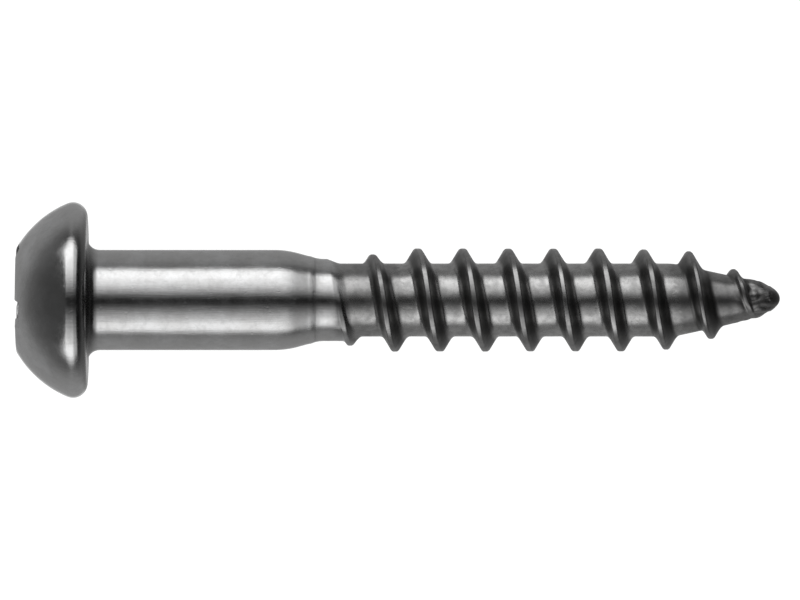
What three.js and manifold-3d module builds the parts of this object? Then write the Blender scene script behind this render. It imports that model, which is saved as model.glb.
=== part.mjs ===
// Round-head wood screw, 5 x 35 mm, with a cross recess (type H, size 2).
//
// A wood screw is one piece of steel wire: the head is upset cold, the recess is punched
// into it and the thread is rolled onto the same wire. So the object is one solid, and each
// of its features has a function of its own below.
//
// Millimetres. The screw's axis is X. The origin is on the axis, in the plane of the head's
// flat underside. The head reaches to -X, and the shank, thread and point to +X.

import * as THREE from 'three';
import { mergeVertices } from 'three/addons/utils/BufferGeometryUtils.js';
import Module from 'manifold-3d';

const wasm = await Module();
wasm.setup();

// ---- Head ----
const HEAD_RADIUS = 4.875;
const DOME_RADIUS = 5.21;        // the dome is part of a sphere
const DOME_CENTRE_X = 1.0;       // its centre lies a little below the head's underside
const CROWN_RADIUS = 2.55;       // the punch leaves a nearly flat crown around the recess
const CROWN_RISE = 0.05;         // the crown's middle above its edge
const CROWN_CORNER = 0.2;        // how far the crown's edge is rounded back along its profile
const HEAD_FILLET = 0.6;         // radius between the underside and the shank

// ---- Cross recess, type H, size 2 ----
const RECESS_DIAMETER = 5.35;    // across two opposite wings, at the crown
const RECESS_DEPTH = 3.05;       // to the feet of the wings
const RECESS_TIP = 0.2;          // the shallow cone below the wings
const WING_SLOPE = THREE.MathUtils.degToRad(26.5);
const WING_WIDTH = 1.15;         // of a wing at the crown
const WING_DRAFT = THREE.MathUtils.degToRad(5.75);
const RECESS_CORE_RADIUS = 1.3;  // the round middle, at the crown
const RECESS_ROLL = THREE.MathUtils.degToRad(16);

// ---- Shank ----
const SHANK_RADIUS = 2.5;
const SHOULDER_X = 9.85;         // the plain shank ends here
const NECK_X = 11.54;            // the cone under it ends here
const ROLLED_RADIUS = 2.05;      // the wire as it went into the thread rolls
const ROLLED_END_X = 12.3;
const CORE_START_X = 12.8;

// ---- Thread, right-handed, single start ----
const PITCH = 2.25;
const CORE_RADIUS = 1.82;
const CREST_WIDTH = 0.17;
const FLANK_ANGLE = THREE.MathUtils.degToRad(30);
const THREAD_START_X = 11.92;    // the ridge starts under the wire's surface, at the screw's top
const THREAD_TURNS = 9.75;
const THREAD_END_X = THREAD_START_X + THREAD_TURNS * PITCH;
const ROOT_DEPTH = 0.2;          // how far the ridge reaches into the core

// Crest radius along the screw: it rises out of the wire, runs level and follows the point.
const CREST = [
  [THREAD_START_X, 1.9],
  [13.1, 2.24],
  [14.2, 2.33],
  [15.4, 2.5],
  [26.5, 2.5],
  [29.9, 2.37],
  [33.3, 0.99],
  [THREAD_END_X, 0.6],
];

// ---- Point ----
const POINT_START_X = 29.2;
const POINT_END_X = 33.25;
const POINT_END_RADIUS = 0.93;
const TIP_RADIUS = 0.62;         // radius of the blunt end
const LENGTH = 34.45;            // from the head's underside to the tip

// ---- Mesh fineness ----
const SIDES = 48;                // of everything turned
const STEPS_PER_TURN = 24;       // of the thread
const OVERSHOOT = 1;             // how far a cutter stands out of the solid it cuts

// A closed geometry as a solid that can be joined and cut.
function solid(geometry) {
  const bare = geometry.clone();
  bare.deleteAttribute('normal');
  bare.deleteAttribute('uv');
  const merged = mergeVertices(bare);
  const index = merged.index.array;
  const triangles = [];
  for (let i = 0; i < index.length; i += 3) {
    const [a, b, c] = index.slice(i, i + 3);
    if (a !== b && b !== c && c !== a) triangles.push(a, b, c);
  }
  return new wasm.Manifold(new wasm.Mesh({
    numProp: 3,
    vertProperties: new Float32Array(merged.attributes.position.array),
    triVerts: new Uint32Array(triangles),
  }));
}

function geometryOf(manifold) {
  const mesh = manifold.getMesh();
  const geometry = new THREE.BufferGeometry();
  geometry.setAttribute('position', new THREE.BufferAttribute(mesh.vertProperties, 3));
  geometry.setIndex(new THREE.BufferAttribute(mesh.triVerts, 1));
  geometry.computeVertexNormals();
  return geometry;
}

// A turned shape about X, from an outline of points (radius, x) that runs from -X to +X.
function turned(outline) {
  return new THREE.LatheGeometry(outline, SIDES).rotateZ(-Math.PI / 2);
}

// Points along an arc in the (radius, x) half plane. Angle 0 points away from the axis and
// 90 degrees points along +X.
function arc(radius, x, size, fromDegrees, toDegrees, steps) {
  const points = [];
  for (let i = 0; i <= steps; i++) {
    const angle = THREE.MathUtils.degToRad(fromDegrees + (toDegrees - fromDegrees) * i / steps);
    points.push(new THREE.Vector2(radius + size * Math.cos(angle), x + size * Math.sin(angle)));
  }
  return points;
}

function domeX(radius) {
  return DOME_CENTRE_X - Math.sqrt(DOME_RADIUS ** 2 - radius ** 2);
}

// The rim is the circle that touches the head's outer cylinder, its underside and, from
// inside, the dome. Its radius solves the quadratic of that last contact.
function rimRadius() {
  const b = 2 * DOME_RADIUS + 2 * DOME_CENTRE_X - 2 * HEAD_RADIUS;
  const c = DOME_CENTRE_X ** 2 + HEAD_RADIUS ** 2 - DOME_RADIUS ** 2;
  return (-b + Math.sqrt(b * b - 4 * c)) / 2;
}

// The crown, the dome, the rim and the flat underside.
function headOutline() {
  const crownX = domeX(CROWN_RADIUS);
  const rim = rimRadius();
  const rimCentre = HEAD_RADIUS - rim;
  const contact = Math.atan2(-rim - DOME_CENTRE_X, rimCentre);
  const cornerIn = new THREE.Vector2(CROWN_RADIUS - CROWN_CORNER, crownX - 0.15 * CROWN_RISE);
  const cornerOut = new THREE.Vector2(CROWN_RADIUS + CROWN_CORNER, domeX(CROWN_RADIUS + CROWN_CORNER));
  const corner = new THREE.QuadraticBezierCurve(
    cornerIn, new THREE.Vector2(CROWN_RADIUS, crownX), cornerOut).getPoints(3);
  const domeStart = Math.atan2(cornerOut.y - DOME_CENTRE_X, cornerOut.x);
  const degrees = THREE.MathUtils.radToDeg;
  return [
    new THREE.Vector2(0, crownX - CROWN_RISE),
    ...corner,
    ...arc(0, DOME_CENTRE_X, DOME_RADIUS, degrees(domeStart), degrees(contact), 9).slice(1),
    ...arc(rimCentre, -rim, rim, degrees(contact), 90, 7).slice(1),
  ];
}

// The fillet, the plain shank, the cone under it and the wire left by the thread rolls.
function shankOutline() {
  const fillet = arc(SHANK_RADIUS + HEAD_FILLET, HEAD_FILLET, HEAD_FILLET, -90, -180, 4);
  const shoulder = new THREE.QuadraticBezierCurve(
    new THREE.Vector2(SHANK_RADIUS, SHOULDER_X - 0.4),
    new THREE.Vector2(SHANK_RADIUS, SHOULDER_X),
    new THREE.Vector2(SHANK_RADIUS - 0.11, SHOULDER_X + 0.5)).getPoints(3);
  return [
    ...fillet,
    ...shoulder,
    new THREE.Vector2(ROLLED_RADIUS + 0.07, NECK_X - 0.3),
    new THREE.Vector2(ROLLED_RADIUS, NECK_X + 0.1),
    new THREE.Vector2(ROLLED_RADIUS, ROLLED_END_X),
    new THREE.Vector2(CORE_RADIUS, CORE_START_X),
  ];
}

// The core's taper and the blunt tip.
function pointOutline() {
  const tipCentre = LENGTH - TIP_RADIUS;
  return [
    new THREE.Vector2(CORE_RADIUS, POINT_START_X),
    new THREE.Vector2(POINT_END_RADIUS, POINT_END_X),
    ...arc(0, tipCentre, TIP_RADIUS, 20, 90, 5).slice(0, -1),
    new THREE.Vector2(0, LENGTH),
  ];
}

// The core's radius, which the ridge's foot follows.
function coreRadius(x) {
  const t = (x - POINT_START_X) / (POINT_END_X - POINT_START_X);
  return THREE.MathUtils.lerp(CORE_RADIUS, POINT_END_RADIUS, Math.max(0, t));
}

function crestRadius(x) {
  const i = CREST.findIndex(([end]) => x <= end + 1e-9);
  if (i <= 0) return CREST[0][1];
  const [x0, r0] = CREST[i - 1];
  const [x1, r1] = CREST[i];
  return r0 + (r1 - r0) * (x - x0) / (x1 - x0);
}

// The thread's ridge: one section, swept along the helix and closed at both ends.
function threadGeometry() {
  const steps = THREAD_TURNS * STEPS_PER_TURN;
  const positions = [];
  for (let i = 0; i <= steps; i++) {
    const turn = i / STEPS_PER_TURN;
    const x = THREAD_START_X + turn * PITCH;
    const angle = Math.PI / 2 + 2 * Math.PI * turn;
    const foot = Math.max(0.12, coreRadius(x) - ROOT_DEPTH);
    const crest = Math.max(foot + 0.1, crestRadius(x));
    const halfFoot = CREST_WIDTH / 2 + (crest - foot) * Math.tan(FLANK_ANGLE);
    const section = [[-halfFoot, foot], [-CREST_WIDTH / 2, crest], [CREST_WIDTH / 2, crest], [halfFoot, foot]];
    for (const [along, radius] of section) {
      positions.push(x + along, radius * Math.cos(angle), radius * Math.sin(angle));
    }
  }
  const index = [0, 1, 2, 0, 2, 3];
  for (let i = 0; i < steps; i++) {
    for (let k = 0; k < 4; k++) {
      const a = 4 * i + k;
      const b = 4 * i + (k + 1) % 4;
      index.push(a, a + 4, b + 4, a, b + 4, b);
    }
  }
  const last = 4 * steps;
  index.push(last, last + 2, last + 1, last, last + 3, last + 2);
  const geometry = new THREE.BufferGeometry();
  geometry.setAttribute('position', new THREE.Float32BufferAttribute(positions, 3));
  geometry.setIndex(index);
  return geometry;
}

// A block that narrows from its -X end to its +X end, for one pair of opposite wings.
function wingPair(crownX) {
  const depth = RECESS_DEPTH + OVERSHOOT;
  const block = new THREE.BoxGeometry(depth, 1, 1);
  const position = block.attributes.position;
  for (let i = 0; i < position.count; i++) {
    const below = position.getX(i) > 0 ? RECESS_DEPTH : -OVERSHOOT;
    const length = RECESS_DIAMETER - 2 * below * Math.tan(WING_SLOPE);
    const width = WING_WIDTH - 2 * Math.max(0, below) * Math.tan(WING_DRAFT / 2);
    position.setXYZ(i, crownX + below, position.getY(i) * length, position.getZ(i) * width);
  }
  return block;
}

// The punch that leaves the cross recess.
function recessPunch() {
  const crownX = domeX(CROWN_RADIUS);
  const footRadius = RECESS_CORE_RADIUS - RECESS_DEPTH * Math.tan(WING_DRAFT);
  const middle = turned([
    new THREE.Vector2(0, crownX - OVERSHOOT),
    new THREE.Vector2(RECESS_CORE_RADIUS, crownX - OVERSHOOT),
    new THREE.Vector2(RECESS_CORE_RADIUS, crownX),
    new THREE.Vector2(footRadius, crownX + RECESS_DEPTH),
    new THREE.Vector2(0, crownX + RECESS_DEPTH + RECESS_TIP),
  ]);
  const across = wingPair(crownX).rotateX(RECESS_ROLL);
  const along = wingPair(crownX).rotateX(RECESS_ROLL + Math.PI / 2);
  return solid(middle).add(solid(across)).add(solid(along));
}

function woodScrew() {
  const outline = [...headOutline(), ...shankOutline(), ...pointOutline()];
  const body = solid(turned(outline));
  const threaded = body.add(solid(threadGeometry()));
  const material = new THREE.MeshStandardMaterial({
    color: 0x9b9b99,
    roughness: 0.3,
    metalness: 1,
  });
  const mesh = new THREE.Mesh(geometryOf(threaded.subtract(recessPunch())), material);
  mesh.name = 'wood_screw';
  return mesh;
}

const object = new THREE.Group();
object.add(woodScrew());

export default object;
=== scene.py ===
"""Round-head wood screw, 5 x 35 mm: its fine surface, its steel and a studio around it.

The screw's axis is X. The head's flat underside lies in the plane x = 0, the head reaches to -X
and the thread and point to +X. Shapes are worked out in millimetres and written in metres.
"""

import math

import bpy
from mathutils import Matrix, Vector, noise


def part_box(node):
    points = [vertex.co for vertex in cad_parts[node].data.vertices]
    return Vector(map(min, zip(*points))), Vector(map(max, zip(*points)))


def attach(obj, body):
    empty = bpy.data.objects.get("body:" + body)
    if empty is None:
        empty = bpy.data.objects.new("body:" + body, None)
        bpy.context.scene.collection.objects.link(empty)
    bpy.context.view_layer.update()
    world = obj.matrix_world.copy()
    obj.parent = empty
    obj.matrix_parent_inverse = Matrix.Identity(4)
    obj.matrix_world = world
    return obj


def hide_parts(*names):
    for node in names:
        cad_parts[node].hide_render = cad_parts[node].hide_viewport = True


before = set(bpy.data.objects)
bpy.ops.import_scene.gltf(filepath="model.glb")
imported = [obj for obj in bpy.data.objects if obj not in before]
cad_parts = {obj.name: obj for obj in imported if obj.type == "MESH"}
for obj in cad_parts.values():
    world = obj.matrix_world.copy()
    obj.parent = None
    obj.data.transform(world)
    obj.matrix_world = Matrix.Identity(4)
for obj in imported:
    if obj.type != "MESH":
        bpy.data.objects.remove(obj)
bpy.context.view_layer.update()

MM = 0.001
NODE = "wood_screw"
node_low, node_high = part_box(NODE)

# ---- Driving dimensions, in millimetres. The frame gives the outer ones. ----
TIP_X = node_high.x / MM
HEAD_RADIUS = (node_high.y - node_low.y) / MM / 2

DOME_RADIUS = 5.21
DOME_CENTRE_X = 1.0
CROWN_RADIUS = 2.55
CROWN_RISE = 0.04
HEAD_FILLET = 0.6
HEAD_WAVE = 0.006
# Shallow marks from tumbling: (x, y, z, width, depth)
HEAD_DENTS = (
    (-1.55, -3.0, -2.75, 0.30, 0.035),
    (-1.5, -1.6, 4.0, 0.28, 0.03),
    (-2.4, 2.2, 2.9, 0.35, 0.03),
    (-1.3, 3.9, -2.2, 0.3, 0.03))

RECESS_ROLL = math.radians(16)
RECESS_DEPTH = 3.05
RECESS_TIP = 0.2             # the foot is a cone, this much deeper at its centre
WING_LENGTH = 2.66           # from the axis, at the head's surface
WING_HALF_WIDTH = 0.6
WING_CORNER = 0.16
RECESS_CORE = 1.3
WING_SLOPE = math.tan(math.radians(26.5))
WING_DRAFT = math.tan(math.radians(5.75 / 2))
CORE_DRAFT = math.tan(math.radians(5.75))
MOUTH_RADIUS = 0.08          # the punched edge is rounded over
MOUTH_RISE = 0.014           # and the metal beside it stands up this much

SHANK_RADIUS = 2.5
SHOULDER_X = 9.9
SHOULDER_BLEND = 0.16        # how softly the shank turns into the cone
NECK_X = 11.54
NECK_BLEND = 0.06
ROLLED_RADIUS = 2.05
BEAD_X = 11.13               # a faint bead and groove where the rolling die's edge met the neck
BEAD_HEIGHT = 0.014
BEAD_WIDTH = 0.11
GROOVE_X = 11.34
GROOVE_DEPTH = 0.006
GROOVE_WIDTH = 0.05

PITCH = 2.25
CREST_TOP_X = 11.92          # the first crest line crosses the screw's top here
CORE_RADIUS = 1.82
CREST_LAND = 0.065           # half the flat on the crest
CREST_ROUNDING = 0.11        # radius of the crest's corners
CREST_SHADE = 0.42            # painted shade on the crest, which dims its highlight
ROOT_BLEND = 0.28
FAINT_ROOT_BLEND = 0.12      # where the ridge is still low
FLANK_TILT = math.radians(60)
RUN_IN = (-0.27, 0.54)       # the wire falls to the core between these places by the first crest line
RUN_IN_DELAY = 0.15          # and this much later at the screw's top
YOUNG_TURNS = (0.9, 1.7)     # between these counts of turns the crest gets its full, worn shape
ENDING_TURNS = (6.6, 8.3)    # and between these it loses it again
BURR_X = 12.57               # folded metal at the lower front, where the thread starts
BURR_SINE = -0.57            # the sine of its angle round the screw
BURR_REACH = (0.34, 0.33)    # along X, and in that sine
BURR_HEIGHT = 0.06

POINT_START_X = 29.2
POINT_END_X = 33.25
POINT_END_RADIUS = 0.93
TORN_START_X = 31.6          # from here on the metal is more and more torn
TORN_ROUGH_X = 32.8          # fully rough
TORN_FULL_X = 33.0           # and fully faceted
TIP_LEAN = 0.07              # the pinched end sits this far off the axis
TIP_LEAN_START_X = 31.5
# the point's colour is darkened through the painted shade mark, besides light wear and torn roughness
TIP_MARKS = {"worn": 0.1, "sheltered": 0.42, "rolled": 1.8}
TIP_GAP = 0.003              # the mesh ends this much short of the frame's point

# Crest radius at each count of turns from the first crossing of the top.
CREST_TURNS = (-0.6, 0.15, 0.35, 0.5, 1.0, 1.5, 6.6, 8.0, 8.5, 9.0, 9.5, 10.2)
CREST_RADII = (1.60, 1.80, 2.02, 2.28, 2.27, 2.57, 2.56, 2.43, 1.93, 1.52, 0.80, 0.40)

# ---- Mesh fineness ----
COLUMNS = 160                # around the screw: as many as cross_outline() has points
RING_RADIUS = 3.1            # the recess's own rings end here, on the dome
WALL_STEPS = 16
MOUTH_STEPS = 4
CROWN_STEPS = 18
SHEAR_START_X = 11.72        # between these the mesh rows follow the thread
SHEAR_END_X = 33.9
SNAP = 0.012                 # rows nearer than this to either end of that stretch are left out


def smooth_step(a, b, value):
    t = min(1.0, max(0.0, (value - a) / (b - a)))
    return t * t * (3 - 2 * t)


def smooth_max(a, b, reach):
    share = max(reach - abs(a - b), 0.0) / reach
    return max(a, b) + share * share * reach / 4


def smooth_min(a, b, reach):
    return -smooth_max(-a, -b, reach)


def lerp(a, b, t):
    return a + (b - a) * t


def along(stations, values, at):
    """The value at a place along straight stretches between stations."""
    if at <= stations[0]:
        return values[0]
    for i in range(1, len(stations)):
        if at <= stations[i]:
            t = (at - stations[i - 1]) / (stations[i] - stations[i - 1])
            return lerp(values[i - 1], values[i], t)
    return values[-1]


def wobble(x, y, z, scale, seed):
    """Smooth noise between about -1 and 1. scale is in features per millimetre, and each seed is
    another place in the same noise."""
    shift = Vector((17.3, -5.1, 2.7)) * seed
    return noise.noise(Vector((x, y, z)) * scale + shift)


# ---- The mesh under construction ----
class Skin:
    """Vertices, faces and three marks per vertex: edge wear, painted shade (a darker colour in hollows,
    corners and thread flanks) and how rough it was rolled (1 in the thread, towards 2 where the point is
    torn)."""

    def __init__(self):
        self.points, self.faces = [], []
        self.worn, self.sheltered, self.rolled = [], [], []

    def add(self, x, y, z, worn=0.0, sheltered=0.0, rolled=0.0):
        self.points.append((x * MM, y * MM, z * MM))
        self.worn.append(worn)
        self.sheltered.append(sheltered)
        self.rolled.append(rolled)
        return len(self.points) - 1

    def polar(self, x, column, radius, **marks):
        angle = column_angle(column)
        lean = TIP_LEAN * smooth_step(TIP_LEAN_START_X, TIP_X, x)
        return self.add(x, radius * math.cos(angle), radius * math.sin(angle) + lean, **marks)

    def bridge(self, first, second):
        """Quads between two rings. second lies further along +X on the outside."""
        count = len(first)
        for j in range(count):
            k = (j + 1) % count
            self.faces.append((first[j], first[k], second[k], second[j]))

    def fan(self, ring, centre, reverse=False):
        count = len(ring)
        for j in range(count):
            face = (ring[j], ring[(j + 1) % count], centre)
            self.faces.append(face[::-1] if reverse else face)


def column_angle(column):
    """From +Y towards +Z. Column 0 lies on a wing of the recess."""
    return RECESS_ROLL + 2 * math.pi * column / COLUMNS


# ---- Head ----
def top_x(radius):
    """The head's outer surface over the crown and dome, before the punch."""
    dome = DOME_RADIUS ** 2 - min(radius, DOME_RADIUS) ** 2
    dome_height = math.sqrt(dome) - DOME_CENTRE_X
    edge_height = math.sqrt(DOME_RADIUS ** 2 - CROWN_RADIUS ** 2) - DOME_CENTRE_X
    crown_height = edge_height + CROWN_RISE * (1 - (radius / CROWN_RADIUS) ** 2)
    return -smooth_min(crown_height, dome_height, 0.07)


def rim_radius():
    """The circle that touches the outer cylinder, the underside and the dome from inside."""
    b = 2 * DOME_RADIUS + 2 * DOME_CENTRE_X - 2 * HEAD_RADIUS
    c = DOME_CENTRE_X ** 2 + HEAD_RADIUS ** 2 - DOME_RADIUS ** 2
    return (-b + math.sqrt(b * b - 4 * c)) / 2


def cross_outline(length, half_width, core):
    """The recess's plan at one depth, as COLUMNS points: one eighth of it, from a wing's axis to the
    diagonal, which is mirrored and turned round."""
    corner = min(WING_CORNER, 0.8 * half_width)
    eighth = [(length, (half_width - corner) * i / 3) for i in range(3)]
    for i in range(5):
        turn = math.pi / 2 * i / 4
        eighth.append((
            length - corner + corner * math.cos(turn),
            half_width - corner + corner * math.sin(turn)))
    side_start = length - corner
    side_end = math.sqrt(core ** 2 - half_width ** 2)
    eighth += [(lerp(side_start, side_end, i / 8), half_width) for i in range(1, 9)]
    meeting = math.asin(half_width / core)
    for i in range(1, 5):
        turn = lerp(meeting, math.pi / 4, i / 4.5)
        eighth.append((core * math.cos(turn), core * math.sin(turn)))
    diagonal = (core * math.sqrt(0.5), core * math.sqrt(0.5))
    quarter = eighth + [diagonal] + [(b, a) for a, b in reversed(eighth[1:])]
    points = []
    for quarter_turn in range(4):
        c, s = ((1, 0), (0, 1), (-1, 0), (0, -1))[quarter_turn]
        points += [(a * c - b * s, a * s + b * c) for a, b in quarter]
    return points


def rolled_point(a, b):
    """A point of the recess's own plan, turned by the recess's roll."""
    c, s = math.cos(RECESS_ROLL), math.sin(RECESS_ROLL)
    return a * c - b * s, a * s + b * c


def recess_outline(depth):
    """The wings slope in towards the foot, and all the walls have draft."""
    return cross_outline(
        WING_LENGTH - depth * WING_SLOPE,
        WING_HALF_WIDTH - depth * WING_DRAFT,
        RECESS_CORE - depth * CORE_DRAFT)


def foot_rings(skin, foot_x):
    """The foot of the recess, a shallow cone."""
    # painted shade: the recess's foot is fully darkened
    centre = skin.add(foot_x + RECESS_TIP, 0, 0, sheltered=1.0)
    rings = []
    for share in (0.3, 0.6, 0.8, 0.92):
        ring = []
        for a, b in recess_outline(RECESS_DEPTH):
            y, z = rolled_point(a * share, b * share)
            ring.append(skin.add(foot_x + RECESS_TIP * (1 - share), y, z, sheltered=1.0))
        rings.append(ring)
    skin.fan(rings[0], centre, reverse=True)
    return rings


def wall_rings(skin, foot_x, lip_x):
    """Up the walls, from the foot to the rounded edge. lip_x is where the crown lies at each column."""
    rings = []
    for i in range(WALL_STEPS, 0, -1):
        depth = RECESS_DEPTH * (i / WALL_STEPS) ** 1.15
        deep = smooth_step(0, 0.6 * RECESS_DEPTH, depth)
        ring = []
        for (a, b), start in zip(recess_outline(depth), lip_x):
            x = lerp(start + MOUTH_RADIUS, foot_x, depth / RECESS_DEPTH)
            chatter = 0.006 * wobble(x, a, b, 2.5, 3)
            y, z = rolled_point(a * (1 + chatter), b * (1 + chatter))
            # painted shade, deepening down the recess walls
            ring.append(skin.add(x, y, z, sheltered=0.35 + 0.65 * deep))
        rings.append(ring)
    return rings


def mouth_rings(skin, lip, lip_x):
    """Over the edge in a quarter circle, from the walls to the crown."""
    rings = []
    for i in range(MOUTH_STEPS + 1):
        turn = math.pi / 2 * i / MOUTH_STEPS
        out = 1 - math.cos(turn)
        down = MOUTH_RADIUS * (1 - math.sin(turn))
        ring = []
        for (a0, b0), (a1, b1), start in zip(recess_outline(0), lip, lip_x):
            y, z = rolled_point(lerp(a0, a1, out), lerp(b0, b1, out))
            # a little painted shade where the walls meet the rounded edge
            ring.append(skin.add(start + down, y, z, worn=0.75, sheltered=0.2 * (1 - out)))
        rings.append(ring)
    return rings


def crown_rings(skin, lip):
    """Out across the crown, from the recess's edge to a circle on the dome."""
    rings = []
    for i in range(1, CROWN_STEPS + 1):
        t = i / CROWN_STEPS
        raised = MOUTH_RISE * math.exp(-t * 6)
        ring = []
        for j, (a, b) in enumerate(lip):
            angle = 2 * math.pi * j / COLUMNS
            y = lerp(a, RING_RADIUS * math.cos(angle), t)
            z = lerp(b, RING_RADIUS * math.sin(angle), t)
            radius = math.hypot(y, z)
            corner = math.exp(-((radius - CROWN_RADIUS) / 0.12) ** 2)
            y, z = rolled_point(y, z)
            ring.append(skin.add(top_x(radius) - raised, y, z, worn=max(0.2, 0.6 * corner)))
        rings.append(ring)
    return rings


def recess_rings(skin):
    """The recess from its foot up, and the crown around it."""
    lip = cross_outline(
        WING_LENGTH + 2 * MOUTH_RADIUS, WING_HALF_WIDTH + MOUTH_RADIUS, RECESS_CORE + MOUTH_RADIUS)
    lip_x = [top_x(math.hypot(a, b)) for a, b in lip]
    foot_x = top_x(0) + RECESS_DEPTH
    rings = foot_rings(skin, foot_x) + wall_rings(skin, foot_x, lip_x)
    rings += mouth_rings(skin, lip, lip_x) + crown_rings(skin, lip)
    for first, second in zip(rings, rings[1:]):
        skin.bridge(first, second)
    return rings[-1]


def dome_stations():
    """(radius, x, wear) over the dome and the rim to the flat underside."""
    rim = rim_radius()
    rim_centre = HEAD_RADIUS - rim
    contact = math.atan2(rim + DOME_CENTRE_X, rim_centre)
    start = math.acos(RING_RADIUS / DOME_RADIUS)
    stations = []
    for i in range(1, 23):
        tilt = lerp(start, contact, i / 22)
        x = DOME_CENTRE_X - DOME_RADIUS * math.sin(tilt)
        stations.append((DOME_RADIUS * math.cos(tilt), x, 0.15))
    for i in range(1, 21):
        tilt = lerp(contact, -math.pi / 2, i / 20)
        worn = 0.15 + 0.45 * math.exp(-(tilt / 0.5) ** 2)
        worn *= 1 - smooth_step(0.8, 1.2, -tilt)
        stations.append((rim_centre + rim * math.cos(tilt), -rim - rim * math.sin(tilt), worn))
    return stations


def head_change(x, y, z):
    """The dome's slight waviness and its dents, as a change of radius."""
    depth = 0.0
    for dent_x, dent_y, dent_z, width, deep in HEAD_DENTS:
        far = ((x - dent_x) ** 2 + (y - dent_y) ** 2 + (z - dent_z) ** 2) / width ** 2
        depth += deep * math.exp(-far)
    return HEAD_WAVE * wobble(x, y, z, 0.55, 1) - depth


def head_rings(skin, ring):
    """The dome, the rim and the underside, from the recess's outer ring to the fillet."""
    stations = dome_stations()
    inner = SHANK_RADIUS + HEAD_FILLET
    outer = stations[-1][0]
    stations += [(lerp(outer, inner, i / 7), 0.0, 0.0) for i in range(1, 8)]
    for radius, x, worn in stations:
        following = []
        for j in range(COLUMNS):
            angle = column_angle(j)
            y, z = radius * math.cos(angle), radius * math.sin(angle)
            flat = x > -1e-6
            change = 0.0 if flat else head_change(x, y, z)
            # painted shade on the flat underside and the rim's lower edge, under the head
            sheltered = 0.55 if flat else 0.8 * smooth_step(-0.25, -0.02, x)
            following.append(skin.polar(x, j, radius + change, worn=worn, sheltered=sheltered))
        skin.bridge(ring, following)
        ring = following
    return ring


# ---- Shank ----
def shank_radius(x):
    """The plain shank, the cone under it and the rolled wire, as turned."""
    slope = (SHANK_RADIUS - ROLLED_RADIUS) / (NECK_X - SHOULDER_X)
    cone = ROLLED_RADIUS + (NECK_X - x) * slope
    radius = smooth_max(smooth_min(SHANK_RADIUS, cone, SHOULDER_BLEND), ROLLED_RADIUS, NECK_BLEND)
    if x < HEAD_FILLET:
        radius += HEAD_FILLET - math.sqrt(HEAD_FILLET ** 2 - (HEAD_FILLET - x) ** 2)
    bead = BEAD_HEIGHT * math.exp(-((x - BEAD_X) / BEAD_WIDTH) ** 2)
    groove = GROOVE_DEPTH * math.exp(-((x - GROOVE_X) / GROOVE_WIDTH) ** 2)
    return radius + bead - groove


def shank_change(x, y, z):
    """Slight waviness left by the die and by tumbling."""
    slow = 0.0035 * wobble(0.35 * x, y, z, 0.9, 5)
    return slow + 0.0015 * wobble(x, y, z, 1.8, 6)


def shank_rings(skin, ring):
    fillet = [HEAD_FILLET * (1 - math.cos(math.pi / 2 * i / 8)) for i in range(1, 9)]
    plain = [lerp(HEAD_FILLET, SHOULDER_X - 0.5, i / 30) for i in range(1, 31)]
    neck = [lerp(SHOULDER_X - 0.5, SHEAR_START_X, i / 30) for i in range(1, 31)]
    for x in fillet + plain + neck:
        turned = shank_radius(x)
        # painted shade in the corner under the head's fillet and in the groove
        corner = 0.85 * (1 - smooth_step(0.0, 0.7, x))
        groove_shade = 0.3 * math.exp(-((x - GROOVE_X) / 0.06) ** 2)
        marks = {
            "worn": 0.5 * math.exp(-((x - SHOULDER_X) / 0.3) ** 2),
            "sheltered": max(corner, groove_shade),
            "rolled": 0.15 * smooth_step(SHOULDER_X, NECK_X, x)}
        following = []
        for j in range(COLUMNS):
            angle = column_angle(j)
            y, z = turned * math.cos(angle), turned * math.sin(angle)
            radius = turned + smooth_step(0.1, 0.6, x) * shank_change(x, y, z)
            following.append(skin.polar(x, j, radius, **marks))
        skin.bridge(ring, following)
        ring = following
    return ring


# ---- Thread ----
def core_radius(x):
    """The core, its taper and the blunt tip."""
    if x > POINT_END_X:
        share = min(1.0, (x - POINT_END_X) / (TIP_X - POINT_END_X))
        return POINT_END_RADIUS * math.sqrt(1 - share ** 1.2)
    slope = (CORE_RADIUS - POINT_END_RADIUS) / (POINT_END_X - POINT_START_X)
    return smooth_min(CORE_RADIUS, CORE_RADIUS - (x - POINT_START_X) * slope, 0.1)


def turn_from_top(angle):
    return ((angle - math.pi / 2) / (2 * math.pi)) % 1.0


def crest_start(angle):
    """Where the first crest line passes this side of the screw."""
    return CREST_TOP_X + turn_from_top(angle) * PITCH


def wire_radius(x, angle):
    """The rolled wire up to the first crest line and the core past it.
    At the back the wire falls away smoothly to the core, where the groove begins."""
    turn = turn_from_top(angle)
    crest_x = crest_start(angle)
    crest_x += RUN_IN_DELAY * (1 - smooth_step(0.0, 0.3, turn))
    past = smooth_step(crest_x + RUN_IN[0], crest_x + RUN_IN[1], x)
    wall = CREST_TOP_X - 0.35 * PITCH * (1 - turn)
    sunk = smooth_step(0.55, 1.0, turn) * smooth_step(wall, wall + 0.4, x)
    return lerp(shank_radius(x), core_radius(x), max(past, sunk))


def ridge_radius(side, crest, land):
    """A flat land, rounded corners and straight flanks. side is the distance from the crest line."""
    side -= land
    if side < 0:
        return crest
    edge = CREST_ROUNDING * math.sin(FLANK_TILT)
    if side < edge:
        return crest - CREST_ROUNDING + math.sqrt(CREST_ROUNDING ** 2 - side ** 2)
    drop = CREST_ROUNDING * (1 - math.cos(FLANK_TILT))
    return crest - drop - (side - edge) * math.tan(FLANK_TILT)


def near_burr(x, angle):
    """How near a place is to the start of the thread at the lower front, where metal folded up."""
    if math.cos(angle) > 0:
        return 0.0
    along_x = (x - BURR_X) / BURR_REACH[0]
    around = (math.sin(angle) - BURR_SINE) / BURR_REACH[1]
    return math.exp(-along_x ** 2 - around ** 2)


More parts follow.
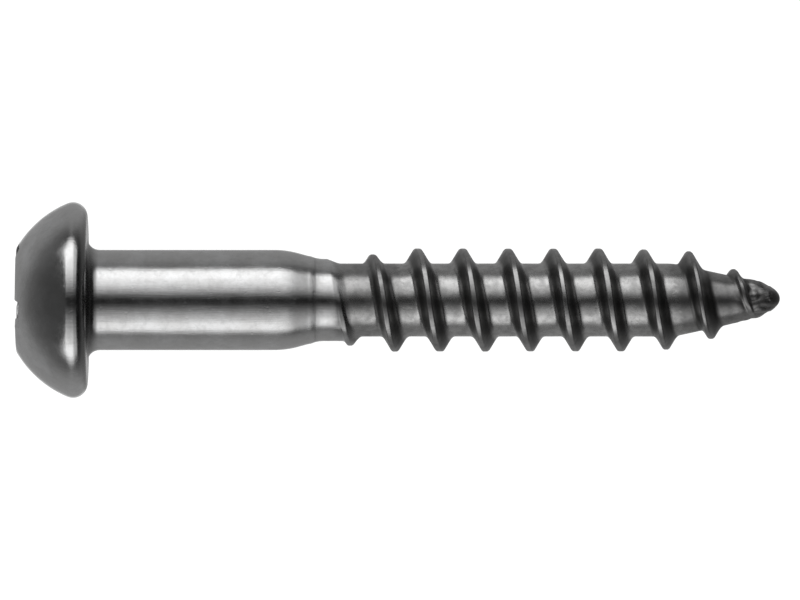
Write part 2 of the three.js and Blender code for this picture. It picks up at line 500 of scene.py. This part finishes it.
def tip_change(x, y, z):
    """The point is pinched off between the dies, so it is torn and faceted there."""
    amount = smooth_step(TORN_START_X, TORN_FULL_X, x)
    facets = abs(wobble(x, y, z, 1.3, 8)) - 0.2
    torn = wobble(x, y, z, 2.1, 9)
    return amount * (0.13 * facets + 0.045 * torn)


def thread_stage(at_turn):
    """How new the ridge still is, 1 where the thread starts, and how far it has faded to the point."""
    return 1 - smooth_step(*YOUNG_TURNS, at_turn), smooth_step(*ENDING_TURNS, at_turn)


def tallness(rise):
    """0 on a ridge that hardly stands out, 1 on a full one."""
    return smooth_step(0.05, 0.45, rise)


def thread_marks(x, angle, at_turn, side, rise):
    """Wear on the crest, painted shade on the flanks and a little on the crest, and roughness from the
    start of the thread on.
    side is the distance from the crest line and rise the ridge's height."""
    young, ending = thread_stage(at_turn)
    tall = tallness(rise)
    worn = tall * (1 - smooth_step(0.06, 0.15, side)) * (1 - ending) * (1 - young)
    foot = CREST_LAND + CREST_ROUNDING / 2 + max(0.0, rise) / math.tan(FLANK_TILT)
    edge = foot + 0.03 + 0.25 * ending
    flank_shade = lerp(CREST_SHADE, 1.0, smooth_step(0.09, 0.32, side))
    flank_shade *= 1 - smooth_step(edge - 0.16, edge, side)
    flank_shade *= smooth_step(0.02, 0.25, rise)
    past_start = x - crest_start(angle)
    first = smooth_step(0.0, 0.3, past_start) * (1 - smooth_step(0.9, 1.8, past_start))
    burr = near_burr(x, angle)
    # painted shade: the colour is darkened on the flanks where shade falls and just past the first crest
    # line; it is also darker round the burr, on young crests and over the last turns
    shade_level = max(flank_shade, 0.25 * first, 0.8 * burr, 0.42 * ending, 0.45 * young * tall)
    torn = 0.8 * smooth_step(TORN_START_X, TORN_ROUGH_X, x)
    return {"worn": worn, "sheltered": shade_level, "rolled": smooth_step(0.0, 0.5, past_start) + torn}


def thread_surface(x, column):
    """The radius and the marks on the threaded stretch."""
    angle = column_angle(column)
    turns = (x - CREST_TOP_X) / PITCH - (angle - math.pi / 2) / (2 * math.pi)
    offset = (turns - round(turns)) * PITCH
    at_turn = (x - offset - CREST_TOP_X) / PITCH
    young, ending = thread_stage(at_turn)
    crest = along(CREST_TURNS, CREST_RADII, at_turn)
    y, z = math.cos(angle) * crest, math.sin(angle) * crest
    crest += smooth_step(0.3, 1.2, at_turn) * 0.012 * wobble(x, y, z, 0.8, 11)
    side = abs(offset) * (1 - 0.2 * young * smooth_step(0.0, 0.1, offset))
    land = CREST_LAND * (1 - 0.5 * max(ending, young)) * (1 + 0.5 * wobble(x, y, z, 0.5, 13))
    wire = wire_radius(x, angle)
    blend = lerp(FAINT_ROOT_BLEND, ROOT_BLEND, tallness(crest - wire))
    radius = smooth_max(ridge_radius(side, crest, land), wire, blend)
    radius += 0.004 * wobble(x, y, z, 1.5, 7) + tip_change(x, y, z)
    folds = wobble(x, 2 * math.cos(angle), 2 * math.sin(angle), 1.7, 12)
    radius += BURR_HEIGHT * near_burr(x, angle) * folds
    marks = thread_marks(x, angle, at_turn, side, crest - wire)
    marks["worn"] *= max(0.0, 0.12 + 0.8 * wobble(x, y, z, 0.45, 14))
    return radius, marks


def row_offsets():
    """Places along one pitch, from one crest line to the next, closer together where the ridge bends."""
    side = (0.035, 0.065, 0.085, 0.105, 0.125, 0.15, 0.20, 0.26, 0.32, 0.38, 0.44, 0.50, 0.56, 0.63,
            0.71, 0.80, 0.90, 1.01)
    return (0.0,) + side + (PITCH / 2,) + tuple(PITCH - s for s in reversed(side))


def thread_columns(skin, start_ring):
    """Rows that follow the thread. Each column holds (row number, vertex), and a row's end joins
    the next turn of itself, so the rows are one long spiral between two plain rings."""
    offsets = row_offsets()
    per_turn = len(offsets)
    end_ring, columns = [], []
    for j in range(COLUMNS):
        shift = CREST_TOP_X + PITCH * (column_angle(j) - math.pi / 2) / (2 * math.pi)
        column = []
        first_turn = math.floor((SHEAR_START_X - shift) / PITCH)
        last_turn = math.ceil((SHEAR_END_X - shift) / PITCH)
        for turn in range(first_turn, last_turn + 1):
            for m, offset in enumerate(offsets):
                x = shift + turn * PITCH + offset
                if SHEAR_START_X + SNAP < x < SHEAR_END_X - SNAP:
                    radius, marks = thread_surface(x, j)
                    column.append((turn * per_turn + m, skin.polar(x, j, radius, **marks)))
        columns.append(column)
        radius, marks = thread_surface(SHEAR_END_X, j)
        end_ring.append(skin.polar(SHEAR_END_X, j, radius, **marks))
    for j in range(COLUMNS):
        k = (j + 1) % COLUMNS
        wrap = per_turn if k == 0 else 0
        join_columns(
            skin, columns[j], [(row - wrap, v) for row, v in columns[k]],
            (start_ring[j], start_ring[k]), (end_ring[j], end_ring[k]))
    return end_ring


def join_columns(skin, left, right, start, end):
    """Faces between two neighbouring columns. Where only one of them has a row, a triangle fits it."""
    left_rows, right_rows = dict(left), dict(right)
    rows = sorted(set(left_rows) | set(right_rows))
    below_left, below_right = start
    for row in rows:
        at_left = left_rows.get(row, below_left)
        at_right = right_rows.get(row, below_right)
        face = [below_left, below_right]
        if at_right != below_right:
            face.append(at_right)
        if at_left != below_left:
            face.append(at_left)
        skin.faces.append(tuple(face))
        below_left, below_right = at_left, at_right
    skin.faces.append((below_left, below_right, end[1], end[0]))


def tip_rings(skin, ring):
    """From the end of the thread over the blunt tip."""
    reach = TIP_X - POINT_END_X
    start = math.asin(((SHEAR_END_X - POINT_END_X) / reach) ** 0.6)
    for i in range(1, 13):
        x = POINT_END_X + reach * math.sin(lerp(start, math.pi / 2, i / 13)) ** (1 / 0.6)
        core = core_radius(x)
        following = []
        for j in range(COLUMNS):
            angle = column_angle(j)
            y, z = core * math.cos(angle), core * math.sin(angle)
            radius = core * (1 + tip_change(x, y, z) / POINT_END_RADIUS)
            following.append(skin.polar(x, j, radius, **TIP_MARKS))
        skin.bridge(ring, following)
        ring = following
    skin.fan(ring, skin.add(TIP_X - TIP_GAP, 0, TIP_LEAN, **TIP_MARKS))


def build_screw(material):
    skin = Skin()
    ring = recess_rings(skin)
    ring = head_rings(skin, ring)
    ring = shank_rings(skin, ring)
    ring = thread_columns(skin, ring)
    tip_rings(skin, ring)
    mesh = bpy.data.meshes.new("wood_screw_surface")
    mesh.from_pydata(skin.points, [], skin.faces)
    for name, values in (("worn", skin.worn), ("sheltered", skin.sheltered), ("rolled", skin.rolled)):
        attribute = mesh.attributes.new(name, "FLOAT", "POINT")
        attribute.data.foreach_set("value", values)
    mesh.validate()
    mesh.shade_smooth()
    mesh.materials.append(material)
    piece = bpy.data.objects.new("screw_body", mesh)
    bpy.context.scene.collection.objects.link(piece)
    return piece


# ---- Material ----
class Nodes:
    """Short calls for building a node tree."""

    def __init__(self, tree):
        self.tree = tree
        tree.nodes.clear()

    def make(self, kind, inputs=None, **settings):
        node = self.tree.nodes.new(kind)
        for key, value in settings.items():
            setattr(node, key, value)
        for key, value in (inputs or {}).items():
            self.feed(node.inputs[key], value)
        return node

    def feed(self, socket, value):
        if isinstance(value, bpy.types.NodeSocket):
            self.tree.links.new(value, socket)
        else:
            socket.default_value = value

    def math(self, operation, *values):
        return self.make("ShaderNodeMath", dict(enumerate(values)), operation=operation).outputs[0]

    def scaled(self, value, factor, offset=0.0):
        return self.math("MULTIPLY_ADD", value, factor, offset)

    def mapped(self, value, low, high, to_low, to_high):
        """to_low at low and to_high at high, smoothly in between and level outside."""
        node = self.make("ShaderNodeMapRange", interpolation_type="SMOOTHSTEP")
        for socket, given in zip(node.inputs, (value, low, high, to_low, to_high)):
            self.feed(socket, given)
        return node.outputs[0]

    def attribute(self, name):
        return self.make("ShaderNodeAttribute", attribute_name=name).outputs["Fac"]

    def noise(self, place, scale, detail, roughness, stretch=(1, 1, 1)):
        moved = self.make("ShaderNodeMapping", {"Vector": place, "Scale": stretch}).outputs[0]
        inputs = {"Vector": moved, "Scale": scale, "Detail": detail, "Roughness": roughness}
        return self.make("ShaderNodeTexNoise", inputs).outputs["Fac"]

    def mixed(self, factor, a, b):
        """a where factor is 0, b where it is 1. A mix of colours has its own numbered sockets."""
        node = self.make("ShaderNodeMix", {0: factor, 6: a, 7: b}, data_type="RGBA")
        return node.outputs[2]


def grey(level, warmth=0.0):
    return (level * (1 + warmth), level, level * (1 - warmth), 1.0)


# Reflectance of the steel, as a grey level: plain, its brighter and duller clouds, the satin of the
# thread, the near-black of painted shade in corners, hollows and flanks, and polished edges.
PLAIN_STEEL = grey(0.60, 0.004)
BRIGHT_CLOUD = grey(0.70, -0.004)
DULL_CLOUD = grey(0.47)
SATIN_BRIGHT = grey(0.51, 0.006)
SATIN_DARK = grey(0.36, 0.006)
SHADE_GREY = grey(0.10, 0.01)
POLISHED_EDGE = grey(0.68)
BUMP_DEPTH = 0.006 * MM


def steel_colour(n, clouds, mottle, worn, sheltered, rolled):
    bare = n.mixed(n.mapped(clouds, 0.35, 0.68, 0.0, 1.0), PLAIN_STEEL, BRIGHT_CLOUD)
    bare = n.mixed(n.mapped(mottle, 0.42, 0.80, 0.0, 0.40), bare, DULL_CLOUD)
    satin = n.mixed(n.mapped(mottle, 0.36, 0.66, 0.0, 1.0), SATIN_BRIGHT, SATIN_DARK)
    bare = n.mixed(n.scaled(rolled, 0.9), bare, satin)
    # painted shade: the near-black grey is mixed in where the painted shade mark is high
    shaded = n.mixed(n.scaled(sheltered, 0.92), bare, SHADE_GREY)
    return n.mixed(n.scaled(worn, 0.6), shaded, POLISHED_EDGE)


def steel_roughness(n, clouds, mottle, grain, worn, sheltered, rolled):
    rough = n.mapped(clouds, 0.3, 0.7, 0.15, 0.20)
    rough = n.math("ADD", rough, n.mapped(mottle, 0.40, 0.80, 0.0, 0.08))
    rough = n.math("ADD", rough, n.scaled(rolled, 0.07))
    rough = n.math("ADD", rough, n.scaled(sheltered, 0.10))
    rough = n.math("ADD", rough, n.scaled(worn, -0.06))
    return n.math("ADD", rough, n.scaled(grain, 0.08, -0.04))


def steel_bump(n, place, mottle, grain, rolled):
    """Drawing lines along the shank, a coarser grain in the thread, and small pits all over."""
    drawn = n.noise(place, 9 / MM, detail=3.0, roughness=0.6, stretch=(0.07, 1, 1))
    pit = n.mapped(n.noise(place, 3.6 / MM, detail=4.0, roughness=0.6), 0.60, 0.74, 0.0, 1.0)
    height = n.math("MULTIPLY", drawn, n.scaled(rolled, -0.7, 1.0))
    height = n.math("ADD", height, n.scaled(mottle, 0.9))
    height = n.math("ADD", height, n.math("MULTIPLY", grain, n.scaled(rolled, 0.6, 0.25)))
    height = n.math("ADD", height, n.scaled(pit, -0.8))
    bump = n.make("ShaderNodeBump", {"Strength": 0.5, "Distance": BUMP_DEPTH, "Height": height})
    return bump.outputs[0]


def steel_material():
    """Bright zinc-plated steel: drawn smooth on the shank, satin where it was rolled and polished on
    its edges, with painted shade darkening it in its corners, hollows and thread flanks."""
    material = bpy.data.materials.new("bright_zinc_steel")
    material.use_nodes = True
    n = Nodes(material.node_tree)
    place = n.make("ShaderNodeTexCoord").outputs["Object"]
    worn, sheltered, rolled = (n.attribute(name) for name in ("worn", "sheltered", "rolled"))
    clouds = n.noise(place, 0.7 / MM, detail=4.0, roughness=0.6)
    mottle = n.noise(place, 2.6 / MM, detail=4.0, roughness=0.65)
    grain = n.noise(place, 16 / MM, detail=3.0, roughness=0.6)
    shader = n.make("ShaderNodeBsdfPrincipled", {
        "Base Color": steel_colour(n, clouds, mottle, worn, sheltered, rolled),
        "Metallic": 1.0,
        "Roughness": steel_roughness(n, clouds, mottle, grain, worn, sheltered, rolled),
        "Normal": steel_bump(n, place, mottle, grain, rolled)})
    n.make("ShaderNodeOutputMaterial", {"Surface": shader.outputs[0]})
    return material


# ---- Studio. Its distances are in metres. ----
SCREW_MIDDLE = Vector(((node_low.x + node_high.x) / 2, 0, 0))
FLOOR_DROP = 0.03
FLOOR_HALF_WIDTH = 2.5
CAMERA_DISTANCE = 0.6
VIEW_WIDTH = 39.8 * MM
VIEW_CENTRE_X = 15.55 * MM
SENSOR = 36.0                # the camera's film width, in millimetres

SOFTBOX_LEVEL = 0.25         # radiance
SOFTBOX_SIZE = (0.30, 0.12)
SOFTBOX_DISTANCE = 0.32
SOFTBOX_LEAN = -16
BACKDROP_LEVEL = 1.1

# The screens, as windows ((starts, full), (fades, gone)) in degrees. Lift is counted up or down
# from the camera, and lean from the left to the right.
SCREEN_UPPER = 1.22
SCREEN_LOWER = 0.95
UPPER_LIFT = ((0, 49), (68, 84))
LOWER_LIFT = ((3, 65), (68, 90))
SCREEN_LEAN = ((-45, -36), (13, 25))
SIDE_LEAN = ((-45, -36), (35, 47))
SCREEN_SIDE = 0.53           # how much of the screens is left on their dim right part
BACKLIGHT = 0.35             # a pale patch straight behind the screw, which fades to the right

# The room's grey from the camera's side (0) to the far side (1).
ROOM_LEVELS = (
    (0.30, 0.012), (0.45, 0.05), (0.55, 0.10), (0.60, 0.14), (0.66, 0.22), (0.78, 0.29), (1.0, 0.32))


def soft_panel(name, lift, lean, size, distance, radiance):
    """An area light, facing the screw. lift is the angle above the line from the screw to the camera
    and lean the angle towards +X, both in degrees."""
    lift, lean = math.radians(lift), math.radians(lean)
    towards = Vector((
        math.sin(lean), -math.cos(lean) * math.cos(lift), math.cos(lean) * math.sin(lift)))
    light = bpy.data.lights.new(name, "AREA")
    light.shape = "RECTANGLE"
    light.size, light.size_y = size
    light.energy = radiance * math.pi * size[0] * size[1]
    lamp = bpy.data.objects.new(name, light)
    across = Vector((1, 0, 0))
    across = (across - across.dot(towards) * towards).normalized()
    upwards = towards.cross(across)
    turn = Matrix((across, upwards, towards)).transposed()
    lamp.matrix_world = Matrix.Translation(SCREW_MIDDLE + towards * distance) @ turn.to_4x4()
    lamp.visible_camera = False
    bpy.context.scene.collection.objects.link(lamp)


def studio_lights():
    for name, lift in (("softbox_upper", 60), ("softbox_lower", -62)):
        soft_panel(name, lift, SOFTBOX_LEAN, SOFTBOX_SIZE, SOFTBOX_DISTANCE, SOFTBOX_LEVEL)


def window(n, angle, rise, fall):
    """1 between rise and fall, with soft edges. Each is a pair of angles in degrees."""
    opened = n.mapped(angle, rise[0], rise[1], 0.0, 1.0)
    closed = n.mapped(angle, fall[0], fall[1], 1.0, 0.0)
    return n.math("MULTIPLY", opened, closed)


def room_light(n, across, depth):
    """A dim room: nearly black round the camera, grey to the sides and behind."""
    aside = n.math("ABSOLUTE", across)
    place = n.math("ADD", depth, n.math("MAXIMUM", n.scaled(aside, -0.55, 0.33), 0.0))
    ramp = n.make("ShaderNodeValToRGB", {"Fac": n.scaled(place, 0.5, 0.5)})
    elements = ramp.color_ramp.elements
    while len(elements) < len(ROOM_LEVELS):
        elements.new(0.5)
    for element, (position, level) in zip(elements, ROOM_LEVELS):
        element.position = position
        element.color = grey(level)
    right = n.mapped(across, 0.40, 0.85, 1.0, 0.4)
    left = n.mapped(across, -0.85, -0.45, 0.045, 0.0)
    return n.math("MULTIPLY_ADD", ramp.outputs["Color"], right, left)


def screen_light(n, height, lift, lean):
    """Two tall soft screens in front, one above the camera and one below, that fade towards the
    camera and to the right."""
    upper = n.scaled(window(n, lift, *UPPER_LIFT), SCREEN_UPPER)
    lower = n.scaled(window(n, lift, *LOWER_LIFT), SCREEN_LOWER)
    is_upper = n.math("GREATER_THAN", height, 0.0)
    is_lower = n.scaled(is_upper, -1.0, 1.0)
    screens = n.math("ADD", n.math("MULTIPLY", upper, is_upper), n.math("MULTIPLY", lower, is_lower))
    full_part = n.scaled(window(n, lean, *SCREEN_LEAN), 1 - SCREEN_SIDE)
    whole = n.scaled(window(n, lean, *SIDE_LEAN), SCREEN_SIDE)
    return n.math("MULTIPLY", screens, n.math("ADD", full_part, whole))


def back_light(n, across, depth):
    behind = n.scaled(n.mapped(depth, 0.93, 0.985, 0.0, 1.0), BACKLIGHT)
    return n.math("MULTIPLY", behind, n.mapped(across, 0.05, 0.40, 1.0, 0.0))


def studio_world():
    """White to the camera. To the steel, a dim room with two screens and a patch of backlight."""
    world = bpy.data.worlds.new("studio")
    bpy.context.scene.world = world
    world.use_nodes = True
    n = Nodes(world.node_tree)
    direction = n.make("ShaderNodeTexCoord").outputs["Generated"]
    parts = n.make("ShaderNodeSeparateXYZ", {"Vector": direction}).outputs
    across, depth, height = parts["X"], parts["Y"], parts["Z"]
    degrees = 180 / math.pi
    away = n.math("ABSOLUTE", height)
    lift = n.scaled(n.math("ARCTAN2", away, n.scaled(depth, -1.0)), degrees)
    lean = n.scaled(n.math("ARCSINE", across), degrees)
    total = n.math("ADD", screen_light(n, height, lift, lean), back_light(n, across, depth))
    total = n.math("ADD", total, room_light(n, across, depth))

    room = n.make("ShaderNodeBackground", {"Color": grey(1.0), "Strength": total})
    backdrop = n.make("ShaderNodeBackground", {"Color": grey(1.0), "Strength": BACKDROP_LEVEL})
    seen = n.make("ShaderNodeLightPath").outputs["Is Camera Ray"]
    both = n.make("ShaderNodeMixShader", {0: seen, 1: room.outputs[0], 2: backdrop.outputs[0]})
    n.make("ShaderNodeOutputWorld", {"Surface": both.outputs[0]})


def floor_material():
    material = bpy.data.materials.new("pale_floor")
    material.use_nodes = True
    n = Nodes(material.node_tree)
    shader = n.make("ShaderNodeBsdfPrincipled", {
        "Base Color": grey(0.9), "Roughness": 0.9,
        "Emission Color": grey(1.0), "Emission Strength": 0.9})
    n.make("ShaderNodeOutputMaterial", {"Surface": shader.outputs[0]})
    return material


def studio_floor():
    half = FLOOR_HALF_WIDTH
    z = node_low.z - FLOOR_DROP
    mesh = bpy.data.meshes.new("floor")
    corners = [(-half, -half, z), (half, -half, z), (half, half, z), (-half, half, z)]
    mesh.from_pydata(corners, [], [(0, 1, 2, 3)])
    mesh.materials.append(floor_material())
    floor = bpy.data.objects.new("floor", mesh)
    bpy.context.scene.collection.objects.link(floor)
    floor.visible_glossy = False
    floor.visible_shadow = False


def studio_camera():
    camera = bpy.data.cameras.new("camera")
    camera.sensor_width = SENSOR
    camera.lens = SENSOR * CAMERA_DISTANCE / VIEW_WIDTH
    camera.clip_start, camera.clip_end = 0.01, 10
    holder = bpy.data.objects.new("camera", camera)
    holder.location = (VIEW_CENTRE_X, -CAMERA_DISTANCE, 0)
    holder.rotation_euler = (math.pi / 2, 0, 0)
    bpy.context.scene.collection.objects.link(holder)
    bpy.context.scene.camera = holder


bpy.context.scene.view_settings.view_transform = "Standard"
studio_camera()
studio_lights()
studio_world()
studio_floor()

screw = build_screw(steel_material())
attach(screw, "root")
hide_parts(NODE)
